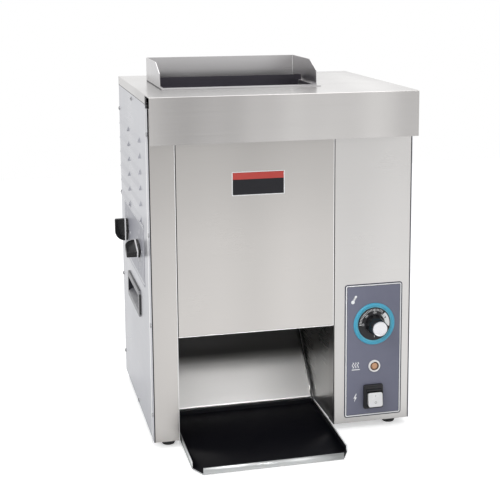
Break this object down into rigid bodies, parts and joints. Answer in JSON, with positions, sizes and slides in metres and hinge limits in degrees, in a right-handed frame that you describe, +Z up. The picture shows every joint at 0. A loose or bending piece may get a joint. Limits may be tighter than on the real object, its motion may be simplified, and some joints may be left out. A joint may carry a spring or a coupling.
{
  "type": "vertical conveyor toaster",
  "caption": "Countertop vertical conveyor toaster with a top bun feeder, heated platen between belts, thickness knobs, thermostat dial and a slide-out landing tray",
  "frame": {"origin": "centre of the overall footprint on the surface the feet stand on", "axes": "+Z up, the front with the tray and the controls faces -Y, +X to the right seen from the front"},
  "size_m": [0.4454, 0.4833, 0.592],
  "materials": {
    "body_steel": "brushed stainless sheet",
    "front_steel": "brushed stainless sheet, warm grey",
    "lid_steel": "brushed stainless sheet, light",
    "bay_steel": "bright rolled sheet, in shade",
    "inner_steel": "zinc coated sheet",
    "slide_steel": "bright rolled stainless sheet",
    "tray_coat": "black release coating",
    "dark_coat": "dark coated sheet",
    "foot_rubber": "black rubber",
    "grip_plastic": "black moulded plastic",
    "black_plastic": "black moulded plastic",
    "knob_plastic": "black phenolic",
    "dial_plastic": "black with white marks",
    "ring_plastic": "cyan",
    "white_plastic": "white",
    "rocker_plastic": "white",
    "amber_lens": "amber lens",
    "cap_metal": "turned metal disc",
    "panel_film": "slate printed film",
    "label_film": "grey printed film",
    "shaft_steel": "ground steel",
    "gear_steel": "cut steel",
    "bearing_bronze": "sintered bronze",
    "belt_fabric": "coated woven belt",
    "release_film": "coated glass cloth",
    "cast_platen": "cast",
    "element_sheath": "dull sheath",
    "white_ceramic": "unglazed",
    "motor_paint": "black"
  },
  "bodies": {
    "housing": {"base_pan": "inner_steel", "left_inner_wall": "bay_steel", "right_inner_wall": "bay_steel", "rear_panel": "body_steel", "left_side_panel": "body_steel", "right_side_panel": "body_steel", "left_front_post": "front_steel", "control_fascia": "front_steel", "front_cover": "front_steel", "top_lid": "lid_steel", "rubber_feet": "foot_rubber", "left_handle": "grip_plastic", "right_handle": "grip_plastic", "bun_slide": "slide_steel", "feeder_divider": "dark_coat", "front_chute": "inner_steel", "rear_chute": "inner_steel", "cord_gland": "black_plastic", "control_overlay": "panel_film", "compression_label": "label_film", "thermostat_bezel": "ring_plastic", "thermostat_body": "inner_steel", "lamp_bezel": "white_plastic", "lamp_lens": "amber_lens", "switch_housing": "black_plastic", "front_belt": "belt_fabric", "rear_belt": "belt_fabric", "shaft_bearings": "bearing_bronze", "gearmotor": "motor_paint", "motor_bracket": "inner_steel", "gear_studs": "shaft_steel", "platen_plates": "cast_platen", "heating_element": "element_sheath", "element_bushes": "white_ceramic", "platen_brackets": "inner_steel", "release_sheet": "release_film", "terminal_block": "white_ceramic"},
    "thermostat": {"thermostat_dial": "dial_plastic", "thermostat_knob": "knob_plastic", "knob_cap": "cap_metal", "thermostat_spindle": "shaft_steel"},
    "rocker": {"switch_rocker": "rocker_plastic"},
    "front_compression": {"front_camshaft": "shaft_steel", "front_compression_knob": "knob_plastic"},
    "rear_compression": {"rear_camshaft": "shaft_steel", "rear_compression_knob": "knob_plastic"},
    "front_pressure": {"front_pressure_plate": "inner_steel"},
    "rear_pressure": {"rear_pressure_plate": "inner_steel"},
    "front_drive": {"front_drive_roller": "shaft_steel", "front_drive_gear": "gear_steel"},
    "rear_drive": {"rear_drive_roller": "shaft_steel", "rear_drive_gear": "gear_steel"},
    "front_top": {"front_top_roller": "shaft_steel"},
    "rear_top": {"rear_top_roller": "shaft_steel"},
    "front_idler": {"front_idler_gear": "gear_steel"},
    "rear_idler": {"rear_idler_gear": "gear_steel"},
    "pinion": {"motor_pinion": "gear_steel"},
    "tray": {"landing_tray": "tray_coat"},
    "feeder": {"bun_feeder": "lid_steel"}
  },
  "joints": [
    {"name": "thermostat_turn", "type": "hinge", "parent": "housing", "child": "thermostat", "pos_m": [0.15835, -0.1323, 0.1767], "axis": [0, 1, 0], "range_deg": [-45, 225]},
    {"name": "switch_rock", "type": "hinge", "parent": "housing", "child": "rocker", "pos_m": [0.15745, -0.1383, 0.0542], "axis": [-1, 0, 0], "range_deg": [0, 12]},
    {"name": "front_compression_turn", "type": "hinge", "parent": "housing", "child": "front_compression", "pos_m": [-0.19935, -0.0135, 0.2965], "axis": [1, 0, 0], "range_deg": [-120, 150]},
    {"name": "rear_compression_turn", "type": "hinge", "parent": "housing", "child": "rear_compression", "pos_m": [-0.19935, 0.1335, 0.2965], "axis": [1, 0, 0], "range_deg": [0, 270]},
    {"name": "front_pressure_slide", "type": "slide", "parent": "housing", "child": "front_pressure", "axis": [0, 1, 0], "range_m": [-0.00267, 0.00333]},
    {"name": "rear_pressure_slide", "type": "slide", "parent": "housing", "child": "rear_pressure", "axis": [0, -1, 0], "range_m": [0, 0.006]},
    {"name": "front_drive_spin", "type": "hinge", "parent": "housing", "child": "front_drive", "pos_m": [-0.0338, -0.007, 0.209], "axis": [1, 0, 0], "continuous": true},
    {"name": "rear_drive_spin", "type": "hinge", "parent": "housing", "child": "rear_drive", "pos_m": [-0.0338, 0.127, 0.209], "axis": [1, 0, 0], "continuous": true},
    {"name": "front_top_spin", "type": "hinge", "parent": "housing", "child": "front_top", "pos_m": [-0.0338, -0.007, 0.475], "axis": [1, 0, 0], "continuous": true},
    {"name": "rear_top_spin", "type": "hinge", "parent": "housing", "child": "rear_top", "pos_m": [-0.0338, 0.127, 0.475], "axis": [1, 0, 0], "continuous": true},
    {"name": "front_idler_spin", "type": "hinge", "parent": "housing", "child": "front_idler", "pos_m": [0.10475, 0.03767, 0.209], "axis": [1, 0, 0], "continuous": true},
    {"name": "rear_idler_spin", "type": "hinge", "parent": "housing", "child": "rear_idler", "pos_m": [0.10475, 0.08233, 0.209], "axis": [1, 0, 0], "continuous": true},
    {"name": "pinion_spin", "type": "hinge", "parent": "housing", "child": "pinion", "pos_m": [0.10475, 0.08233, 0.16433], "axis": [1, 0, 0], "continuous": true},
    {"name": "tray_draw", "type": "slide", "parent": "housing", "child": "tray", "axis": [0, -1, 0], "range_m": [0, 0.24]},
    {"name": "feeder_lift", "type": "slide", "parent": "housing", "child": "feeder", "axis": [0, 0, 1], "range_m": [0, 0.08]}
  ],
  "couplings": [
    {"joint": "front_compression_turn", "follows": "front_pressure_slide", "rad_per_m": 785.4},
    {"joint": "rear_compression_turn", "follows": "rear_pressure_slide", "rad_per_m": 785.4},
    {"joint": "rear_drive_spin", "follows": "front_drive_spin", "ratio": -1},
    {"joint": "front_top_spin", "follows": "front_drive_spin", "ratio": 1},
    {"joint": "rear_top_spin", "follows": "front_drive_spin", "ratio": -1},
    {"joint": "front_idler_spin", "follows": "front_drive_spin", "ratio": -1},
    {"joint": "rear_idler_spin", "follows": "front_drive_spin", "ratio": 1},
    {"joint": "pinion_spin", "follows": "front_drive_spin", "ratio": -1}
  ]
}
